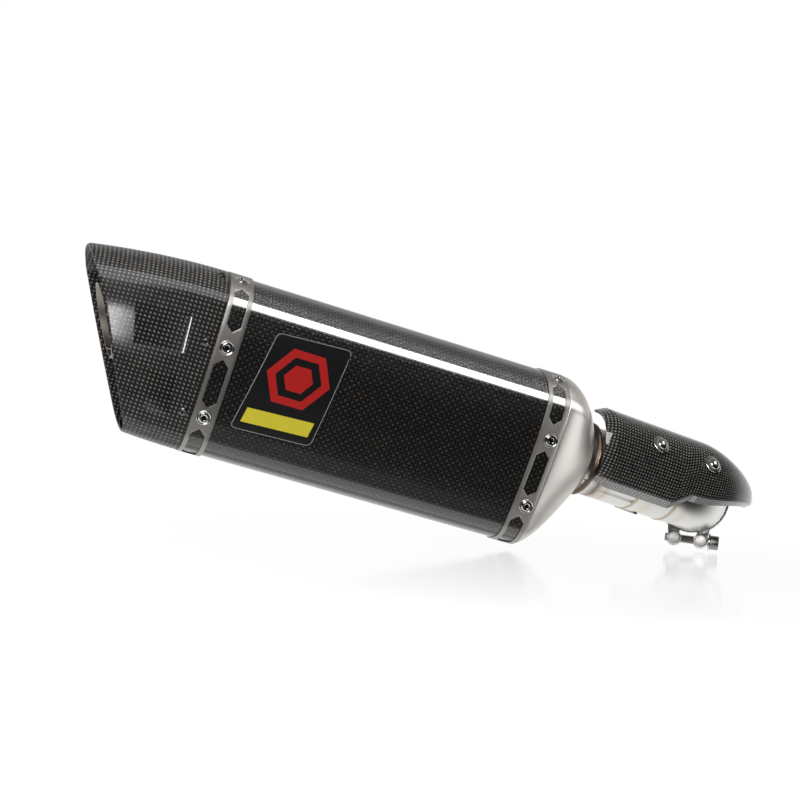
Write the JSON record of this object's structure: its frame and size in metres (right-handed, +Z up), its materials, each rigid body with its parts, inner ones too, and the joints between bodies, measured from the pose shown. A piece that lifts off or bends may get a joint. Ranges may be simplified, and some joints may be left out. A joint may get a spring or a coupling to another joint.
{
  "type": "exhaust muffler",
  "caption": "Slip-on silencer: shield-section carbon sleeve, slanted end cap, metal inlet cone, link pipe with inboard elbow, heat shield and T-bolt clamp.",
  "frame": {"origin": "centre of the inlet mouth, where the header pipe enters the socket", "axes": "+X along the sleeve towards the inlet end, -Y out of the outer side that faces the viewer, +Z up; the can's ridge is on top"},
  "size_m": [0.6436, 0.1531, 0.1537],
  "materials": {
    "gloss_carbon": "clear-coated plain weave carbon",
    "satin_carbon": "satin plain weave carbon",
    "titanium_satin": "satin titanium",
    "stainless_bright": "bright satin stainless",
    "stainless_polished": "polished stainless",
    "weld_bead": "heat-tinted weld",
    "black_steel": "black oxide",
    "inner_steel": "plain sheet steel",
    "wool": "packed fibre",
    "badge_black": "gloss black plate",
    "badge_red": "red print",
    "badge_yellow": "yellow print"
  },
  "bodies": {
    "muffler": {"outer_sleeve": "gloss_carbon", "heat_shield": "gloss_carbon", "end_cap": "satin_carbon", "rear_band": "titanium_satin", "front_band": "titanium_satin", "inlet_cone": "titanium_satin", "rear_band_rivets": "stainless_polished", "front_band_rivets": "stainless_polished", "end_cap_screws": "black_steel", "outlet_tube": "inner_steel", "outlet_ring": "inner_steel", "rear_bulkhead": "inner_steel", "core_tube": "inner_steel", "packing": "wool", "front_bulkhead": "inner_steel", "neck_collar": "stainless_polished", "neck_tube": "stainless_bright", "link_tube": "stainless_bright", "link_elbow": "stainless_bright", "inlet_socket": "stainless_bright", "weld_beads": "weld_bead", "shield_bosses": "stainless_bright", "shield_screws": "stainless_polished", "shield_washers": "stainless_polished", "hanger_bracket": "titanium_satin", "badge_plate": "badge_black", "badge_mark": "badge_red", "badge_bar": "badge_yellow"},
    "clamp": {"clamp_liner": "stainless_bright", "clamp_band": "stainless_bright", "barrel_plain": "stainless_polished", "barrel_threaded": "stainless_polished"},
    "washer": {"clamp_washer": "stainless_bright"},
    "bolt": {"clamp_bolt": "black_steel"}
  },
  "joints": [
    {"name": "clamp_swivel", "type": "hinge", "parent": "muffler", "child": "clamp", "pos_m": [0, 0, 0], "axis": [0.4223, 0.9063, -0.0195], "range_deg": [-180, 180]},
    {"name": "bolt_backout", "type": "slide", "parent": "clamp", "child": "washer", "axis": [0.8957, -0.4139, 0.1623], "range_m": [0, 0.01]},
    {"name": "bolt_turn", "type": "hinge", "parent": "washer", "child": "bolt", "pos_m": [0.01716, -0.02752, -0.03553], "axis": [0.8957, -0.4139, 0.1623], "range_deg": [0, 2880]}
  ],
  "couplings": [
    {"joint": "bolt_turn", "follows": "bolt_backout", "rad_per_m": 5026.5}
  ]
}
